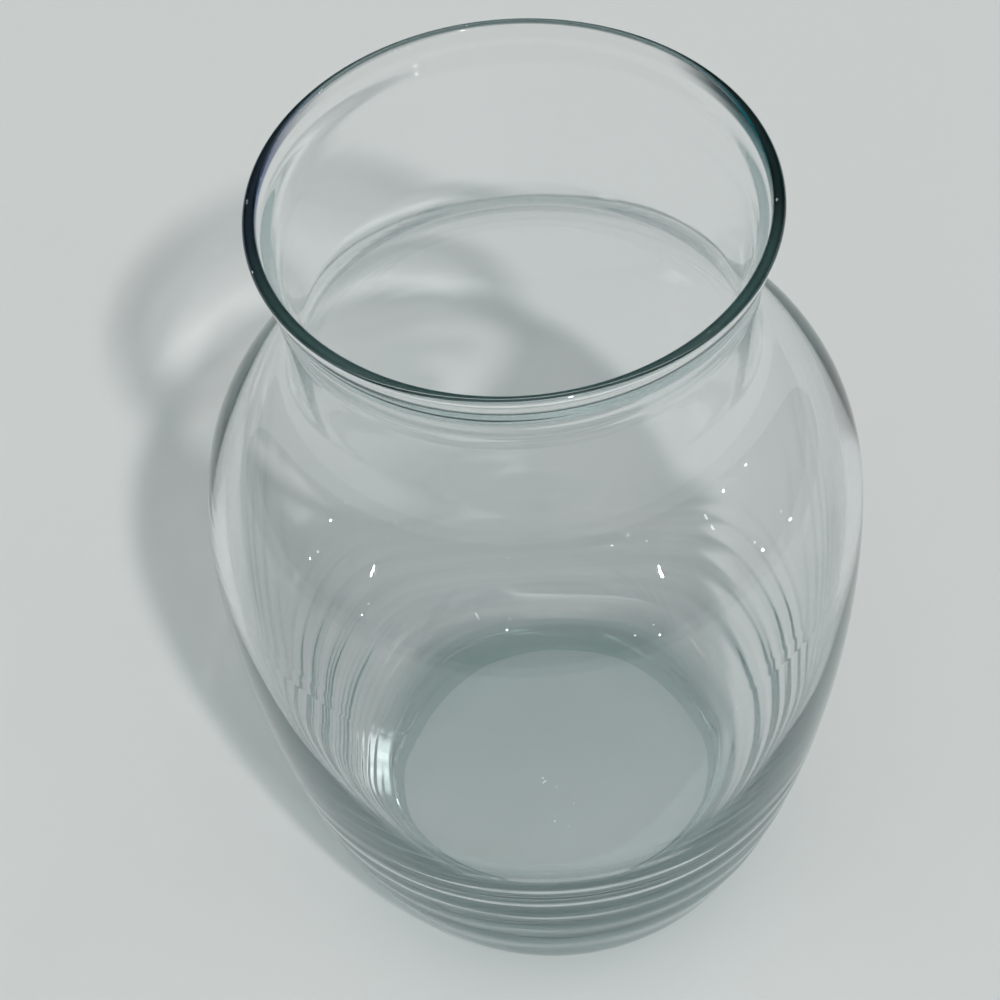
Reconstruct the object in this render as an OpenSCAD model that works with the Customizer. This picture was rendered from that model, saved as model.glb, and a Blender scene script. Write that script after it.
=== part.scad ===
// Clear glass flower vase, blown in one piece: a flared mouth with a rounded lip, a short neck, a round
// shoulder, and a body that tapers to a heavy base. Soft settle waves ring the thick lower wall.
// The origin is the centre of the standing ring, on the table, with +Z up.

/* [Overall] */
// Height from the table to the top of the lip
vase_height = 204; // [190:1:225]

/* [Mouth and neck] */
// Diameter over the rounded lip
mouth_d = 107.9; // [104:0.1:114]
// Thickness of the glass at the lip, which is also the lip's round
lip_t = 2.8; // [2.2:0.1:4]
// Lean of the wall under the lip, away from upright
lip_lean = 20; // [12:1:36]
// Outer diameter of the neck where it is narrowest
neck_d = 96.4; // [92:0.2:99]
// Drop from the top of the lip to the narrowest part of the neck
neck_drop = 37.5; // [32:0.5:42]

/* [Body] */
// Outer diameter at the widest part
belly_d = 140; // [130:1:150]
// Height of the widest part
belly_h = 115; // [105:1:125]
// Outer diameter where the body turns into the heel
heel_d = 82.8; // [80:0.4:90]
// Height where the body turns into the heel
heel_h = 2.4; // [1.6:0.2:6]
// Lean of the body wall where it reaches the heel, away from upright
heel_lean = 43; // [35:1:50]

/* [Base] */
// Outer diameter of the flat standing ring
foot_d = 76; // [72:0.5:78]
// Width of the flat standing ring
foot_w = 3; // [1.5:0.5:6]
// Rise of the hollow under the base at its centre
push_up = 2; // [0.5:0.5:6]

/* [Glass thickness] */
// Wall at the narrowest part of the neck
neck_wall = 3.2; // [2.4:0.1:4.4]
// Wall at the widest part of the body
belly_wall = 2.7; // [2:0.1:5]
// Height of the inside floor above the table
floor_h = 17.5; // [13:0.5:24]
// Diameter of the flat inside floor
floor_d = 79; // [70:0.5:82]
// Radius of the corner between the inside floor and the wall
floor_corner = 3; // [2:0.5:7]
// Lean of the inside wall where it reaches the floor corner, away from upright
floor_lean = 35; // [25:1:42]

/* [Settle waves] */
// Height of the lowest wave
wave_start = 3; // [3:0.5:15]
// Height where the waves have faded out
wave_end = 64; // [45:1:85]
// Number of waves up the wall, closer together towards the top
wave_count = 6; // [3:1:9]
// Depth of a wave from crest to trough where it is strongest
wave_depth = 0.4; // [0:0.05:0.8]

/* [Hidden] */

// Facets around the axis, and steps along each curve of the outline
round_steps = 96;
lip_steps = 10;
neck_steps = 10;
shoulder_steps = 20;
wall_steps = 72;
inside_steps = 24;
corner_steps = 6;
base_steps = 6;

// Lengths of the curve handles, as shares of the height that each curve climbs
lip_handle_share = 0.24;
neck_handle_share = 0.46;
shoulder_top_share = 0.40;
shoulder_low_share = 0.68;
belly_handle_share = 0.42;
heel_handle_share = 0.165;
inside_belly_share = 0.30;
inside_floor_share = 0.32;
push_up_share = 0.40;
// Share of the fillet's leg that makes a quarter turn of Bezier curve round
round_share = 0.55;
// Skew of the waves' strength towards the base: under 1 the strongest wave lies below the middle
wave_skew_share = 0.62;
// Crowding of the waves: over 1 their crests draw together towards the top
wave_crowd_share = 1.6;

mouth_r = mouth_d / 2;
neck_r = neck_d / 2;
neck_h = vase_height - neck_drop;
belly_r = belly_d / 2;
heel_r = heel_d / 2;
foot_r = foot_d / 2;
floor_r = floor_d / 2;

// Unit steps up the wall and across it, out of the glass, for a wall that leans outwards by an angle
function up_wall(lean) = [sin(lean), cos(lean)];
function off_wall(lean) = [cos(lean), -sin(lean)];

// Points of a cubic curve from a to d, without d itself
function curve(a, b, c, d, steps) = [
    for (i = [0:steps - 1])
        let (t = i / steps, u = 1 - t)
            u * u * u * a + 3 * u * u * t * b + 3 * u * t * t * c + t * t * t * d
];

// Strength of the settle waves at a height, and the outward push that they give the wall there
function wave_place(h) = min(1, max(0, (h - wave_start) / (wave_end - wave_start)));
function wave_strength(h) = sin(180 * pow(wave_place(h), wave_skew_share));
function wave_turn(h) = 360 * wave_count * pow(h / wave_end, wave_crowd_share);
function wave_push(h) = wave_depth / 2 * wave_strength(h) * sin(wave_turn(h));
function waved(points) = [for (p = points) [p[0] + wave_push(p[1]), p[1]]];

// The lip is a half round that the outer and inner walls run into
lip_centre = [mouth_r - lip_t / 2, vase_height - lip_t / 2];
lip_out = lip_centre + lip_t / 2 * off_wall(lip_lean);
lip_in = lip_centre - lip_t / 2 * off_wall(lip_lean);
lip_round = [
    for (i = [0:lip_steps - 1])
        let (a = 180 * i / lip_steps - lip_lean)
            lip_centre + lip_t / 2 * [cos(a), sin(a)]
];

// Outer stations from the standing ring up to the lip
foot_out = [foot_r, 0];
heel = [heel_r, heel_h];
belly = [belly_r, belly_h];
neck = [neck_r, neck_h];
body_climb = belly_h - heel_h;
shoulder_climb = neck_h - belly_h;
neck_climb = lip_out[1] - neck_h;

heel_curve = curve(
    foot_out,
    foot_out + [round_share * (heel_r - foot_r), 0],
    heel - round_share * heel_h * up_wall(heel_lean),
    heel,
    corner_steps
);
body_curve = waved(curve(
    heel,
    heel + heel_handle_share * body_climb * up_wall(heel_lean),
    belly - [0, belly_handle_share * body_climb],
    belly,
    wall_steps
));
shoulder_curve = curve(
    belly,
    belly + [0, shoulder_low_share * shoulder_climb],
    neck - [0, shoulder_top_share * shoulder_climb],
    neck,
    shoulder_steps
);
neck_curve = curve(
    neck,
    neck + [0, neck_handle_share * neck_climb],
    lip_out - lip_handle_share * neck_climb * up_wall(lip_lean),
    lip_out,
    neck_steps
);

// Inner stations from the lip down to the middle of the floor
inner_neck = [neck_r - neck_wall, neck_h];
inner_belly = [belly_r - belly_wall, belly_h];
corner_top = [floor_r + floor_corner, floor_h + floor_corner];
corner_foot = [floor_r, floor_h];
inner_neck_climb = lip_in[1] - neck_h;
inner_body_climb = belly_h - corner_top[1];

inner_neck_curve = curve(
    lip_in,
    lip_in - lip_handle_share * inner_neck_climb * up_wall(lip_lean),
    inner_neck + [0, neck_handle_share * inner_neck_climb],
    inner_neck,
    neck_steps
);
inner_shoulder_curve = curve(
    inner_neck,
    inner_neck - [0, shoulder_top_share * shoulder_climb],
    inner_belly + [0, shoulder_low_share * shoulder_climb],
    inner_belly,
    shoulder_steps
);
inner_body_curve = curve(
    inner_belly,
    inner_belly - [0, inside_belly_share * inner_body_climb],
    corner_top + inside_floor_share * inner_body_climb * up_wall(floor_lean),
    corner_top,
    inside_steps
);
corner_curve = curve(
    corner_top,
    corner_top - round_share * floor_corner * up_wall(floor_lean),
    corner_foot + [round_share * floor_corner, 0],
    corner_foot,
    corner_steps
);

// The underside is hollowed by the push-up, which runs out smoothly into the standing ring
push_up_rim = [foot_r - foot_w, 0];
push_up_handle = [push_up_share * push_up_rim[0], 0];
push_up_curve = curve(
    [0, push_up],
    [0, push_up] + push_up_handle,
    push_up_rim - push_up_handle,
    push_up_rim,
    base_steps
);

outline = concat(
    push_up_curve,
    [push_up_rim],
    heel_curve,
    body_curve,
    shoulder_curve,
    neck_curve,
    lip_round,
    inner_neck_curve,
    inner_shoulder_curve,
    inner_body_curve,
    corner_curve,
    [corner_foot, [0, floor_h]]
);

// The whole vase is one blown piece of glass: its outline turned about the axis
module vase() {
    color([0.80, 0.87, 0.86, 0.45])
        rotate_extrude($fn = round_steps)
            polygon(outline);
}

vase();
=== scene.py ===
"""Clear glass flower vase on a pale table, in soft studio light.

Metres, +Z up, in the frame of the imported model: the origin is the centre of the standing ring.
The glass is turned again here, finer than the solid, so that it bends light without facets, and
its settle waves and the faint unevenness of blown glass wander round the vase.
"""
import math

import bpy
import numpy as np
from mathutils import Matrix, Vector


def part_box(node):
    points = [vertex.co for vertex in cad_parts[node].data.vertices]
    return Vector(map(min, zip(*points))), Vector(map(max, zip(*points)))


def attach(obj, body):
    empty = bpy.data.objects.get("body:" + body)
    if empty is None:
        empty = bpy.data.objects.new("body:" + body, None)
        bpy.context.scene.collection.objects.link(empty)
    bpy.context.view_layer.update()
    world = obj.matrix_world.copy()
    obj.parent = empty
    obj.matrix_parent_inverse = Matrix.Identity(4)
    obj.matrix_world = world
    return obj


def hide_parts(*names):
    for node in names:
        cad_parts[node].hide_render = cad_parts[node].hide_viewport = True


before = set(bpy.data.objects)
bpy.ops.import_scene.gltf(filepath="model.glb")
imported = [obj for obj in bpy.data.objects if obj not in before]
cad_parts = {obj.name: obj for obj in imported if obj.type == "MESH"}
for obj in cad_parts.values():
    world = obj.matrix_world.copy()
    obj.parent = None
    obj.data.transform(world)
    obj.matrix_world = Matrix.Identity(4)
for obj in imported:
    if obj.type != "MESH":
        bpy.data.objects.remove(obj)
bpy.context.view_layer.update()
vase_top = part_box("vase")[1]

MM = 0.001

# The vase's height and its widest radius come from the frame
VASE_HEIGHT = vase_top.z
BELLY_R = vase_top.y

# Camera: its place, its angles in degrees, its lens and sensor, and the nearest thing that it sees
CAMERA_BACK = 574.6 * MM
CAMERA_HEIGHT = 778.5 * MM
CAMERA_TURN = -0.757
CAMERA_DIP = 49.133
CAMERA_ROLL = -4.91
CAMERA_LENS = 147.6
CAMERA_SENSOR = 36
CAMERA_NEAR = 10 * MM

# The key light, seen from the vase: its turn from the camera's side, its rise, its spread and strength
KEY_TURN = 18
KEY_RISE = 49.5
KEY_SPREAD = 2.5
KEY_STRENGTH = 1.92

# Narrow lamps on the left light an arc of the table, where the base gathers light: the place that they
# share, the arc's radius, the sides that they light in degrees from +X, and each one's beam in degrees,
# power and size
SPOT_PLACE = (-200 * MM, 30 * MM, 260 * MM)
SPOT_R = 49 * MM
SPOT_SIDES = (158, 166, 174)
SPOT_WIDTH = 2.4
SPOT_POWER = 5.5
SPOT_SIZE = 1 * MM

# Small lamps that only make glints: the turn, rise and spread of each in degrees, and how bright they are
GLINT_LAMPS = [
    (-13, 29, 0.6),
    (45, 32, 0.8),
    (71, 28, 0.8),
    (179, 53, 0.2),
    (125, 60, 0.8),
    (-84, 15, 0.9),
    (-120, 8, 0.9),
    (35, 8, 0.8),
    (93, 47, 0.6),
    (77, 10, 0.8),
    (28, 14, 0.6),
    (-64, 27, 0.6),
    (90, 5, 0.8),
    (-150, 30, 0.8),
    (120, 12, 0.7),
    (-60, 12, 0.6),
    (60, 66, 0.5),
]
GLINT_GLOW = 300

# How far away the key light and the small lamps are drawn
LAMP_FAR = 2

# The room round the table: its light near the horizon, half way up and overhead, the sines of those three
# rises, and the share of it that comes from in front of the vase and from behind it
ROOM_LOW = (0.02, 0.03, 0.04)
ROOM_MID = (0.24, 0.25, 0.25)
ROOM_HIGH = (0.96, 1.0, 1.01)
ROOM_RISES = (0.05, 0.45, 0.85)
ROOM_FRONT = 1.1
ROOM_BACK = 0.2

# Glass: how strongly it bends light, the tint that deepens with thickness, and the share of the light that
# goes straight through it where it shades the table
GLASS_IOR = 1.5
TINT = (0.58, 0.70, 0.695)
TINT_DENSITY = 20
SHADOW_PASS = (0.78, 0.80, 0.80)

# Painted shade on the fire-polished lip, dark teal and navy, at its back, left and right: a colour, a side
# and its reach in degrees, and the drops from the top between which the painted shade sets in, in lip
# thicknesses
LIP_PAINTED_SHADES = [
    ((0.08, 0.13, 0.13), 90, (85, 60), (0.12, 0.04)),
    ((0.01, 0.03, 0.12), 172, (45, 15), (0.8, 0.5)),
    ((0, 0.03, 0.04), 13, (40, 20), (1.4, 1.0)),
]

# Painted shade on the thick heel all round and, darker, in front: the heights between which it fades out,
# the width over which it sets in round the standing ring, and the places along Y between which the front
# one sets in
HEEL_PAINTED_SHADE = (0.60, 0.71, 0.70)
HEEL_FRONT_PAINTED_SHADE = (0.33, 0.52, 0.51)
HEEL_SHADE_FADE = (10 * MM, 17 * MM)
HEEL_SHADE_EDGE = 0.3 * MM
HEEL_FRONT_SHADE_SPAN = (20 * MM, -20 * MM)

# The table: how far it lies below the foot, so that the two faces don't meet, half its width and its finish
TABLE_DROP = 0.2 * MM
TABLE_HALF = 3
TABLE_COLOUR = (0.62, 0.64, 0.63)
TABLE_ROUGHNESS = 0.55

# Mouth and neck
MOUTH_R = 53.95 * MM
LIP_T = 2.8 * MM
LIP_LEAN = 20
NECK_R = 48.2 * MM
NECK_H = VASE_HEIGHT - 37.5 * MM
NECK_WALL = 3.2 * MM

# Body
BELLY_H = 115 * MM
BELLY_WALL = 2.7 * MM
HEEL_R = 41.4 * MM
HEEL_H = 2.4 * MM
HEEL_LEAN = 43

# Base
FOOT_R = 38 * MM
FOOT_W = 3 * MM
PUSH_UP = 2 * MM
FLOOR_H = 17.5 * MM
FLOOR_R = 39.5 * MM
FLOOR_CORNER = 3 * MM
FLOOR_LEAN = 35

# Settle waves round the lower wall. Their skew, under 1, makes the low ones the strongest, their crowding,
# over 1, draws them together towards the top, and swells make them wander round the vase. Here and below, a
# swell is how many there are to a turn, its share, and its start in radians.
WAVE_START = 3 * MM
WAVE_END = 64 * MM
WAVE_COUNT = 6
WAVE_DEPTH = 0.38 * MM
WAVE_SKEW = 0.62
WAVE_CROWD = 1.6
WAVE_DRIFT = 0.07
WAVE_SWELLS = [(1, 1, 0.6), (2, 0.6, 2.1), (5, 0.3, 0.4)]

# Finer ripples on the left and right, and the finest on the left: their share of a wave, and how many there
# are to a wave and their start. The finest gather round one side, given in radians from -X, and the more
# closely the higher their focus.
FINE_SHARE = 0.25
FINE_RIPPLE = (2.3, 0.2)
FINEST_SHARE = 0.55
FINEST_RIPPLE = (5.6, 0.5)
FINEST_SIDE = 0.25
FINEST_FOCUS = 3

# The lip is a slight bead: the wall under it thins before it thickens again towards the neck
BEAD_DEPTH = 0.75 * MM
BEAD_DROP = 4.5 * MM
BEAD_REACH = 2.5 * MM

# Faint rings in the flare, under the lip: the share of their strength that is left behind the vase, and the
# share of the rest that reaches its sides
FLARE_DEPTH = 0.25 * MM
FLARE_PITCH = 4.5 * MM
FLARE_REACH = 20 * MM
FLARE_SKEW = 0.6
FLARE_BACK = 0.1
FLARE_SIDES = 0.2
FLARE_SWELL = (1, 0.5, 1)

# Faint unevenness of the blown inside: swells that climb, each with its climb for a radian. The first one
# comes and goes up the wall.
FLOW_DEPTH = 0.08 * MM
FLOW_LOW = 30 * MM
FLOW_HIGH = 190 * MM
FLOW_SWELLS = [((4, 1, 0), 13 * MM), ((7, 0.6, 2.0), -9 * MM), ((11, 0.4, 0.7), 6 * MM)]
FLOW_PULSE = 17 * MM
FLOW_PULSE_START = 1.0

# Soft swells of the inside floor, with their lengths across and along it for a radian: the first bends from
# side to side, and the second crosses it. The power sets how close to the corner they fade out.
FLOOR_DEPTH = 0.2 * MM
FLOOR_PITCH = (2.9 * MM, 3.6 * MM)
FLOOR_START = 0.5
FLOOR_BEND = 0.9
FLOOR_BEND_PITCH = 4 * MM
CROSS_SHARE = 0.5
CROSS_PITCH = (5.5 * MM, 2.6 * MM)
CROSS_START = 1.0
FLOOR_FADE_POWER = 4

# Heights this close count as the same
SAME = 0.01 * MM

# Curve handles, as shares of the height that each curve climbs, or of the push-up's radius. The last is the
# share of a corner's leg that makes it round.
LIP_HANDLE = 0.24
NECK_HANDLE = 0.46
SHOULDER_TOP = 0.40
SHOULDER_LOW = 0.68
BELLY_HANDLE = 0.42
HEEL_HANDLE = 0.165
INSIDE_BELLY = 0.30
INSIDE_FLOOR = 0.32
PUSH_UP_HANDLE = 0.40
ROUND = 0.55

# Segments round the axis, and steps along each stretch of the outline
ROUND_STEPS = 208
LIP_STEPS = 20
NECK_STEPS = 36
SHOULDER_STEPS = 30
WALL_STEPS = 200
INSIDE_STEPS = 44
CORNER_STEPS = 12
BASE_STEPS = 20


def up_wall(lean):
    """Unit step up a wall that leans outwards by an angle in degrees."""
    return np.array([math.sin(math.radians(lean)), math.cos(math.radians(lean))])


def off_wall(lean):
    """Unit step out of such a wall, square to it."""
    return np.array([math.cos(math.radians(lean)), -math.sin(math.radians(lean))])


def curve(a, b, c, d, steps):
    """Points of a cubic curve from a to d, without d itself."""
    t = np.arange(steps)[:, None] / steps
    u = 1 - t
    return u**3 * a + 3 * u * u * t * b + 3 * u * t * t * c + t**3 * d


def point(r, h):
    """Place on the outline: a radius and a height."""
    return np.array([r, h])


def lip_centre():
    """Middle of the lip's round."""
    return point(MOUTH_R - LIP_T / 2, VASE_HEIGHT - LIP_T / 2)


def outer_outline():
    """The outside of the glass, from the middle of the underside up to the lip."""
    lip_out = lip_centre() + LIP_T / 2 * off_wall(LIP_LEAN)
    foot_out = point(FOOT_R, 0)
    heel = point(HEEL_R, HEEL_H)
    belly = point(BELLY_R, BELLY_H)
    neck = point(NECK_R, NECK_H)
    body_climb = BELLY_H - HEEL_H
    shoulder_climb = NECK_H - BELLY_H
    neck_climb = lip_out[1] - NECK_H
    push_up_rim = point(FOOT_R - FOOT_W, 0)
    return np.concatenate(
        [
            curve(
                point(0, PUSH_UP),
                point(PUSH_UP_HANDLE * push_up_rim[0], PUSH_UP),
                push_up_rim - point(PUSH_UP_HANDLE * push_up_rim[0], 0),
                push_up_rim,
                BASE_STEPS,
            ),
            [push_up_rim],
            curve(
                foot_out,
                foot_out + point(ROUND * (HEEL_R - FOOT_R), 0),
                heel - ROUND * HEEL_H * up_wall(HEEL_LEAN),
                heel,
                CORNER_STEPS,
            ),
            curve(
                heel,
                heel + HEEL_HANDLE * body_climb * up_wall(HEEL_LEAN),
                belly - point(0, BELLY_HANDLE * body_climb),
                belly,
                WALL_STEPS,
            ),
            curve(
                belly,
                belly + point(0, SHOULDER_LOW * shoulder_climb),
                neck - point(0, SHOULDER_TOP * shoulder_climb),
                neck,
                SHOULDER_STEPS,
            ),
            curve(
                neck,
                neck + point(0, NECK_HANDLE * neck_climb),
                lip_out - LIP_HANDLE * neck_climb * up_wall(LIP_LEAN),
                lip_out,
                NECK_STEPS,
            ),
        ]
    )


def lip_outline():
    """The half round that joins the outside to the inside."""
    angles = np.radians(180 * np.arange(LIP_STEPS) / LIP_STEPS - LIP_LEAN)
    return lip_centre() + LIP_T / 2 * np.stack([np.cos(angles), np.sin(angles)], axis=1)


def inner_outline():
    """The inside of the glass, from the lip down to the middle of the floor."""
    lip_in = lip_centre() - LIP_T / 2 * off_wall(LIP_LEAN)
    neck = point(NECK_R - NECK_WALL, NECK_H)
    belly = point(BELLY_R - BELLY_WALL, BELLY_H)
    corner_top = point(FLOOR_R + FLOOR_CORNER, FLOOR_H + FLOOR_CORNER)
    corner_foot = point(FLOOR_R, FLOOR_H)
    shoulder_climb = NECK_H - BELLY_H
    neck_climb = lip_in[1] - NECK_H
    body_climb = BELLY_H - corner_top[1]
    floor_steps = np.arange(BASE_STEPS)[:, None] / BASE_STEPS
    return np.concatenate(
        [
            curve(
                lip_in,
                lip_in - LIP_HANDLE * neck_climb * up_wall(LIP_LEAN),
                neck + point(0, NECK_HANDLE * neck_climb),
                neck,
                NECK_STEPS,
            ),
            curve(
                neck,
                neck - point(0, SHOULDER_TOP * shoulder_climb),
                belly + point(0, SHOULDER_LOW * shoulder_climb),
                belly,
                SHOULDER_STEPS,
            ),
            curve(
                belly,
                belly - point(0, INSIDE_BELLY * body_climb),
                corner_top + INSIDE_FLOOR * body_climb * up_wall(FLOOR_LEAN),
                corner_top,
                INSIDE_STEPS,
            ),
            curve(
                corner_top,
                corner_top - ROUND * FLOOR_CORNER * up_wall(FLOOR_LEAN),
                corner_foot + point(ROUND * FLOOR_CORNER, 0),
                corner_foot,
                CORNER_STEPS,
            ),
            corner_foot - floor_steps * point(FLOOR_R, 0),
            [point(0, FLOOR_H)],
        ]
    )


def swell(angle, count, share, start):
    """One swell round the vase."""
    return share * np.sin(count * angle + start)


def ripple(waves, count, start):
    """Ripple that runs with the waves: how many there are to a wave, and its start in waves."""
    return np.sin(2 * math.pi * (count * waves + start))


def settle_waves(h, angle):
    """Outward push of the settle waves and of the finer ripples that run with them."""
    place = np.clip((h - WAVE_START) / (WAVE_END - WAVE_START), 0, 1)
    strength = np.sin(math.pi * place**WAVE_SKEW)
    drift = sum(swell(angle, *terms) for terms in WAVE_SWELLS)
    waves = WAVE_COUNT * (np.maximum(h, 0) / WAVE_END) ** WAVE_CROWD + WAVE_DRIFT * drift
    push = ripple(waves, 1, 0)
    push += FINE_SHARE * np.cos(angle) ** 2 * ripple(waves, *FINE_RIPPLE)
    left = np.clip(-np.cos(angle - FINEST_SIDE), 0, 1) ** FINEST_FOCUS
    push += FINEST_SHARE * left * ripple(waves, *FINEST_RIPPLE)
    return WAVE_DEPTH / 2 * strength * push


def lip_bead(h):
    """Outward push of the inside under the lip."""
    return BEAD_DEPTH * np.exp(-(((VASE_HEIGHT - BEAD_DROP - h) / BEAD_REACH) ** 2))


def flare_rings(h, angle):
    """Outward push of the faint rings in the flare, gone at the lip."""
    place = np.clip((VASE_HEIGHT - h) / FLARE_REACH, 0, 1)
    front = np.clip(FLARE_SIDES - (1 - FLARE_SIDES) * np.sin(angle), 0, 1)
    strength = np.sin(math.pi * place**FLARE_SKEW) * (FLARE_BACK + (1 - FLARE_BACK) * front)
    drift = swell(angle, *FLARE_SWELL)
    return FLARE_DEPTH / 2 * strength * np.sin(2 * math.pi * h / FLARE_PITCH + drift)


def uneven_flow(h, angle):
    """Push of the inside: long faint swells, gone at the lip and at the floor."""
    place = np.clip((h - FLOW_LOW) / (FLOW_HIGH - FLOW_LOW), 0, 1)
    first, *others = [
        swell(angle, count, share, start + h / climb) for (count, share, start), climb in FLOW_SWELLS
    ]
    push = first * np.sin(h / FLOW_PULSE + FLOW_PULSE_START) + sum(others)
    return FLOW_DEPTH / 2 * np.sin(math.pi * place) * push


def floor_swell(r, angle):
    """Rise of the inside floor: soft swells, gone at its corner."""
    x, y = r * np.cos(angle), r * np.sin(angle)
    strength = np.clip(1 - (r / FLOOR_R) ** FLOOR_FADE_POWER, 0, 1)
    bend = FLOOR_BEND * np.sin(y / FLOOR_BEND_PITCH)
    rise = np.sin(x / FLOOR_PITCH[0] + bend) * np.cos(y / FLOOR_PITCH[1] + FLOOR_START)
    rise += CROSS_SHARE * np.sin(x / CROSS_PITCH[0] - y / CROSS_PITCH[1] + CROSS_START)
    return FLOOR_DEPTH / 2 * strength * rise


def turned(name, outer, lip, inner, steps):
    """A closed mesh of the outline turned about Z, with the waves outside and the swells inside."""
    outline = np.concatenate([outer, lip, inner])
    rings = outline[1:-1]
    outside = (np.arange(1, len(outline) - 1) < len(outer))[:, None]
    inside = (np.arange(1, len(outline) - 1) >= len(outer) + len(lip))[:, None]
    angles = 2 * math.pi * np.arange(steps)[None, :] / steps
    h = rings[:, 1, None] + 0 * angles
    r = rings[:, 0, None] + outside * (settle_waves(h, angles) + flare_rings(h, angles))
    r += inside * (uneven_flow(h, angles) + lip_bead(h))
    z = h + inside * (h < FLOOR_H + SAME) * floor_swell(r, angles)
    ring_points = np.stack([r * np.cos(angles), r * np.sin(angles), z], axis=2).reshape(-1, 3)
    points = [(0, 0, outline[0][1]), *map(tuple, ring_points), (0, 0, outline[-1][1])]
    last = len(points) - 1
    top = 1 + (len(rings) - 1) * steps
    faces = [(0, 1 + (i + 1) % steps, 1 + i) for i in range(steps)]
    for k in range(len(rings) - 1):
        low, high = 1 + k * steps, 1 + (k + 1) * steps
        for i in range(steps):
            j = (i + 1) % steps
            faces.append((low + i, low + j, high + j, high + i))
    faces += [(top + i, top + (i + 1) % steps, last) for i in range(steps)]
    mesh = bpy.data.meshes.new(name)
    mesh.from_pydata(points, [], faces)
    mesh.polygons.foreach_set("use_smooth", [True] * len(faces))
    mesh.update()
    piece = bpy.data.objects.new(name, mesh)
    bpy.context.collection.objects.link(piece)
    return piece


def add_camera():
    """The photograph's view: it looks down at the vase, turned and rolled a little."""
    turn, dip, roll = (math.radians(a) for a in (CAMERA_TURN, CAMERA_DIP, CAMERA_ROLL))
    forward = Vector(
        (math.sin(turn) * math.cos(dip), math.cos(turn) * math.cos(dip), -math.sin(dip))
    )
    level = Vector((math.cos(turn), -math.sin(turn), 0))
    upward = level.cross(forward)
    right = math.cos(roll) * level + math.sin(roll) * upward
    top = -math.sin(roll) * level + math.cos(roll) * upward
    data = bpy.data.cameras.new("camera")
    data.lens = CAMERA_LENS
    data.sensor_width = CAMERA_SENSOR
    data.clip_start = CAMERA_NEAR
    camera = bpy.data.objects.new("camera", data)
    turned_to = Matrix((right, top, -forward)).transposed().to_4x4()
    camera.matrix_world = Matrix.Translation((0, -CAMERA_BACK, CAMERA_HEIGHT)) @ turned_to
    bpy.context.collection.objects.link(camera)
    bpy.context.scene.camera = camera


def smooth_step(tree, value, begin, end):
    """Factor that goes smoothly from 0 to 1 as a value goes from begin to end."""
    factor = tree.nodes.new("ShaderNodeMapRange")
    factor.interpolation_type = "SMOOTHSTEP"
    rising = begin < end
    factor.inputs["From Min"].default_value = begin if rising else end
    factor.inputs["From Max"].default_value = end if rising else begin
    factor.inputs["To Min"].default_value = 0 if rising else 1
    factor.inputs["To Max"].default_value = 1 if rising else 0
    tree.links.new(value, factor.inputs["Value"])
    return factor.outputs["Result"]


def one_side(tree, place, side, reach):
    """Factor that rises from 0 to 1 towards one side of the vase, given in degrees from +X, as the
    angle off that side falls through the reach.
    """
    nodes, links = tree.nodes, tree.links
    towards = nodes.new("ShaderNodeVectorMath")
    towards.operation = "DOT_PRODUCT"
    a = math.radians(side)
    towards.inputs[1].default_value = (math.cos(a) / MOUTH_R, math.sin(a) / MOUTH_R, 0)
    links.new(place.outputs["Object"], towards.inputs[0])
    begin, end = (math.cos(math.radians(a)) for a in reach)
    return smooth_step(tree, towards.outputs["Value"], begin, end)


def both(tree, one, other):
    """Product of two factors."""
    product = tree.nodes.new("ShaderNodeMath")
    product.operation = "MULTIPLY"
    tree.links.new(one, product.inputs[0])
    tree.links.new(other, product.inputs[1])
    return product.outputs["Value"]


def blend(tree, factor, over, under=None):
    """Colour that goes to another one as the factor rises, from the colour under it or from white."""
    mix = tree.nodes.new("ShaderNodeMix")
    mix.data_type = "RGBA"
    tree.links.new(factor, mix.inputs["Factor"])
    mix.inputs["A"].default_value = (1, 1, 1, 1)
    mix.inputs["B"].default_value = (*over, 1)
    if under:
        tree.links.new(under, mix.inputs["A"])
    return mix.outputs["Result"]


def glass_colour_with_painted_shade(tree):
    """White, with painted shade on the heel and on the lip."""
    nodes, links = tree.nodes, tree.links
    place = nodes.new("ShaderNodeTexCoord")
    split = nodes.new("ShaderNodeSeparateXYZ")
    across = nodes.new("ShaderNodeVectorMath")
    across.operation = "MULTIPLY"
    across.inputs[1].default_value = (1, 1, 0)
    radius = nodes.new("ShaderNodeVectorMath")
    radius.operation = "LENGTH"
    links.new(place.outputs["Object"], split.inputs["Vector"])
    links.new(place.outputs["Object"], across.inputs[0])
    links.new(across.outputs["Vector"], radius.inputs[0])
    # Painted shade on the heel, darker in front
    low = smooth_step(tree, split.outputs["Z"], HEEL_SHADE_FADE[1], HEEL_SHADE_FADE[0])
    wide = smooth_step(tree, radius.outputs["Value"], FOOT_R, FOOT_R + HEEL_SHADE_EDGE)
    heel = both(tree, low, wide)
    front = smooth_step(tree, split.outputs["Y"], *HEEL_FRONT_SHADE_SPAN)
    colour = blend(tree, heel, HEEL_PAINTED_SHADE)
    colour = blend(tree, both(tree, heel, front), HEEL_FRONT_PAINTED_SHADE, colour)
    # Painted shade on the lip, one side after another
    for lip_shade, side, reach, drops in LIP_PAINTED_SHADES:
        near = one_side(tree, place, side, reach)
        begin, end = (VASE_HEIGHT - drop * LIP_T for drop in drops)
        high = smooth_step(tree, split.outputs["Z"], begin, end)
        colour = blend(tree, both(tree, near, high), lip_shade, colour)
    return colour


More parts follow.
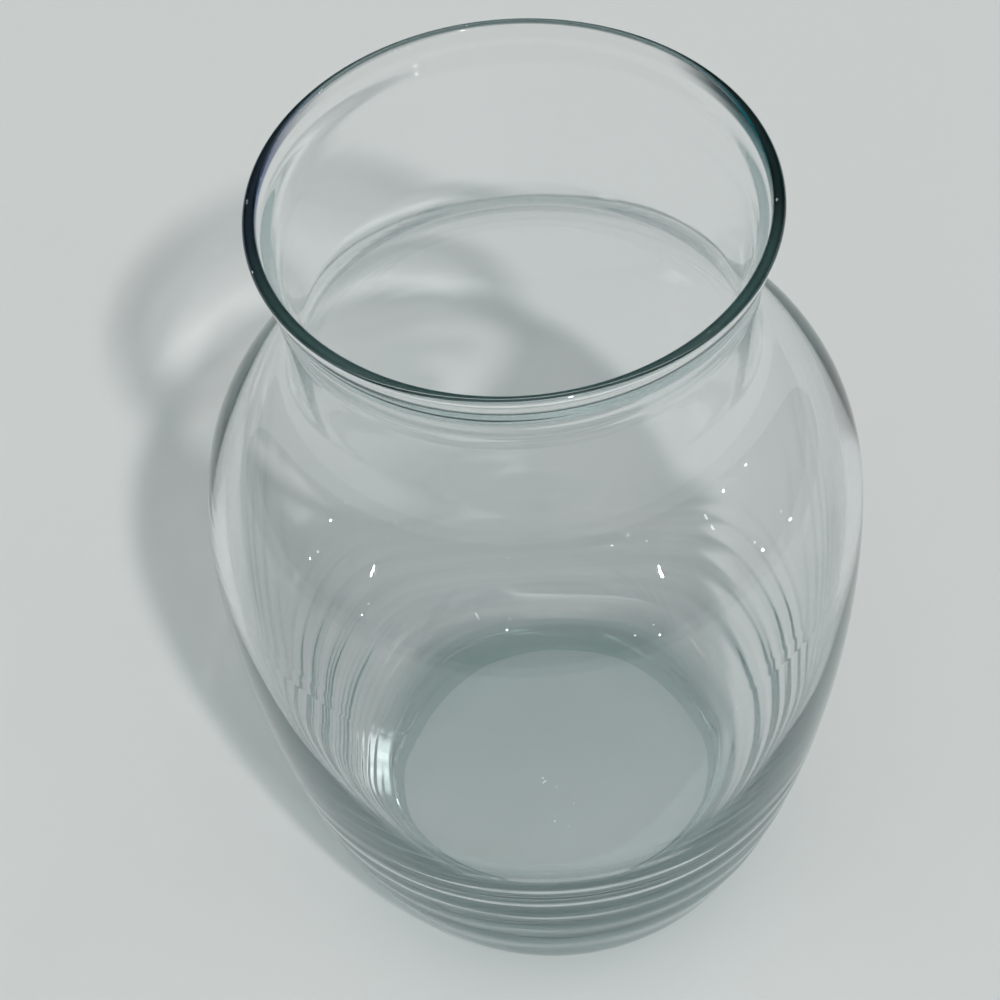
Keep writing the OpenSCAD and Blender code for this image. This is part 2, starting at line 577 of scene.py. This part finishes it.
def glass_material():
    """Clear glass with a faint blue-green tint and painted shade on its heel and lip, whose shadow lets
    part of the light straight through.
    """
    material = bpy.data.materials.new("clear_glass")
    material.use_nodes = True
    tree = material.node_tree
    nodes, links = tree.nodes, tree.links
    shader = nodes["Principled BSDF"]
    shader.inputs["Roughness"].default_value = 0
    shader.inputs["IOR"].default_value = GLASS_IOR
    shader.inputs["Transmission Weight"].default_value = 1
    # The base colour carries the painted shade of the heel and the lip
    links.new(glass_colour_with_painted_shade(tree), shader.inputs["Base Color"])
    absorb = nodes.new("ShaderNodeVolumeAbsorption")
    absorb.inputs["Color"].default_value = (*TINT, 1)
    absorb.inputs["Density"].default_value = TINT_DENSITY
    links.new(absorb.outputs["Volume"], nodes["Material Output"].inputs["Volume"])
    light_path = nodes.new("ShaderNodeLightPath")
    passing = nodes.new("ShaderNodeBsdfTransparent")
    passing.inputs["Color"].default_value = (*SHADOW_PASS, 1)
    either = nodes.new("ShaderNodeMixShader")
    links.new(light_path.outputs["Is Shadow Ray"], either.inputs["Fac"])
    links.new(shader.outputs["BSDF"], either.inputs[1])
    links.new(passing.outputs["BSDF"], either.inputs[2])
    links.new(either.outputs["Shader"], nodes["Material Output"].inputs["Surface"])
    return material


def table_material():
    """Plain pale finish."""
    material = bpy.data.materials.new("pale_table")
    material.use_nodes = True
    shader = material.node_tree.nodes["Principled BSDF"]
    shader.inputs["Base Color"].default_value = (*TABLE_COLOUR, 1)
    shader.inputs["Roughness"].default_value = TABLE_ROUGHNESS
    return material


def add_table():
    """The plain table that the vase stands on, which isn't part of it."""
    mesh = bpy.data.meshes.new("table")
    corners = ((-1, -1), (1, -1), (1, 1), (-1, 1))
    points = [(x * TABLE_HALF, y * TABLE_HALF, -TABLE_DROP) for x, y in corners]
    mesh.from_pydata(points, [], [(0, 1, 2, 3)])
    table = bpy.data.objects.new("table", mesh)
    mesh.materials.append(table_material())
    bpy.context.collection.objects.link(table)
    return table


def lamp(name, turn, rise, spread, strength):
    """A far lamp seen from the vase at a turn from the camera's side (90 is to the right) and a rise."""
    a, e = math.radians(turn), math.radians(rise)
    towards = Vector((math.sin(a) * math.cos(e), -math.cos(a) * math.cos(e), math.sin(e)))
    data = bpy.data.lights.new(name, "SUN")
    data.energy = strength
    data.angle = math.radians(spread)
    light = bpy.data.objects.new(name, data)
    light.rotation_mode = "QUATERNION"
    light.rotation_quaternion = (-towards).to_track_quat("-Z", "Y")
    light.location = LAMP_FAR * towards
    bpy.context.collection.objects.link(light)
    return light


def add_spot(name, side):
    """A narrow lamp that lights the table beside the foot, on one side given in degrees from +X."""
    data = bpy.data.lights.new(name, "SPOT")
    data.energy = SPOT_POWER
    data.spot_size = math.radians(SPOT_WIDTH)
    data.spot_blend = 1
    data.shadow_soft_size = SPOT_SIZE
    light = bpy.data.objects.new(name, data)
    a = math.radians(side)
    aim = Vector((SPOT_R * math.cos(a), SPOT_R * math.sin(a), 0)) - Vector(SPOT_PLACE)
    light.rotation_mode = "QUATERNION"
    light.rotation_quaternion = aim.to_track_quat("-Z", "Y")
    light.location = SPOT_PLACE
    bpy.context.collection.objects.link(light)


def add_room():
    """Soft light from all round: dim at the horizon, bright overhead, and dimmer from behind the vase."""
    world = bpy.data.worlds.new("room")
    bpy.context.scene.world = world
    world.use_nodes = True
    tree = world.node_tree
    nodes, links = tree.nodes, tree.links
    back = nodes["Background"]
    place = nodes.new("ShaderNodeTexCoord")
    split = nodes.new("ShaderNodeSeparateXYZ")
    ramp = nodes.new("ShaderNodeValToRGB")
    stops = ramp.color_ramp.elements
    low, mid, high = ROOM_RISES
    stops[0].position, stops[0].color = low, (*ROOM_LOW, 1)
    stops[1].position, stops[1].color = high, (*ROOM_HIGH, 1)
    stops.new(mid).color = (*ROOM_MID, 1)
    depth = nodes.new("ShaderNodeMapRange")
    depth.inputs["From Min"].default_value = -1
    depth.inputs["To Min"].default_value = ROOM_FRONT
    depth.inputs["To Max"].default_value = ROOM_BACK
    links.new(place.outputs["Generated"], split.inputs["Vector"])
    links.new(split.outputs["Z"], ramp.inputs["Fac"])
    links.new(split.outputs["Y"], depth.inputs["Value"])
    links.new(ramp.outputs["Color"], back.inputs["Color"])
    links.new(depth.outputs["Result"], back.inputs["Strength"])


def add_lights():
    """The key light, the lamps beside the foot, the glints and the room."""
    key = lamp("key", KEY_TURN, KEY_RISE, KEY_SPREAD, KEY_STRENGTH)
    key.data.cycles.is_caustics_light = True
    for i, side in enumerate(SPOT_SIDES):
        add_spot(f"spot_{i + 1}", side)
    for i, (turn, rise, spread) in enumerate(GLINT_LAMPS):
        strength = GLINT_GLOW * math.pi * math.radians(spread / 2) ** 2
        lamp(f"glint_{i + 1}", turn, rise, spread, strength)
    add_room()


add_camera()
vase = turned("vase_glass", outer_outline(), lip_outline(), inner_outline(), ROUND_STEPS)
vase.data.materials.append(glass_material())
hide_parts("vase")
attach(vase, "root")
vase.cycles.is_caustics_caster = True
table = add_table()
table.cycles.is_caustics_receiver = True
add_lights()

# Light bounces many times inside thick glass before it comes out
scene = bpy.context.scene
scene.cycles.max_bounces = 48
scene.cycles.transmission_bounces = 48
scene.cycles.glossy_bounces = 40
scene.cycles.diffuse_bounces = 3
scene.cycles.transparent_max_bounces = 16
scene.cycles.caustics_refractive = True
scene.cycles.caustics_reflective = True
scene.cycles.use_denoising = True
scene.view_settings.view_transform = "Standard"
